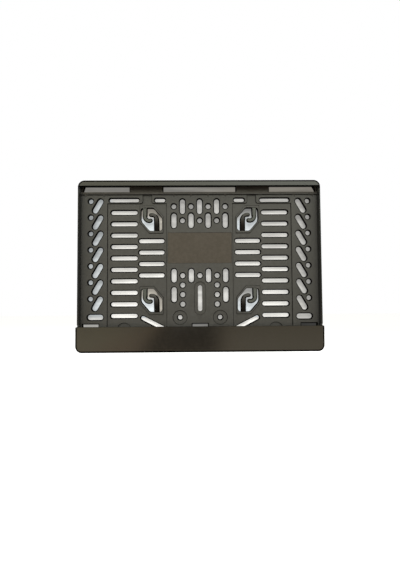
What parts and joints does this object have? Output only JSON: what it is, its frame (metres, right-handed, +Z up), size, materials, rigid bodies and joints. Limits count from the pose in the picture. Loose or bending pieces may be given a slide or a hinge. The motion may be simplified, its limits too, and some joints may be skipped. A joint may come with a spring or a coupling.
{
  "type": "number plate holder",
  "caption": "Rectangular slotted plate frame with a raised rim, an overhanging top lip, sprung fingers and a glossy clip-on lower strip; holds a square-format number plate.",
  "frame": {"origin": "centre of the back mounting plane, on the cross rib, at mid width and mid height", "axes": "+X along the width to the right seen from the front, +Z up, front facing -Y, +Y out of the back towards the car"},
  "size_m": [0.351, 0.0171, 0.2454],
  "materials": {
    "frame_plastic": "fine matt moulded texture",
    "strip_plastic": "polished moulding"
  },
  "bodies": {
    "root": {"base_frame": "frame_plastic", "lower_strip": "strip_plastic"}
  },
  "joints": []
}
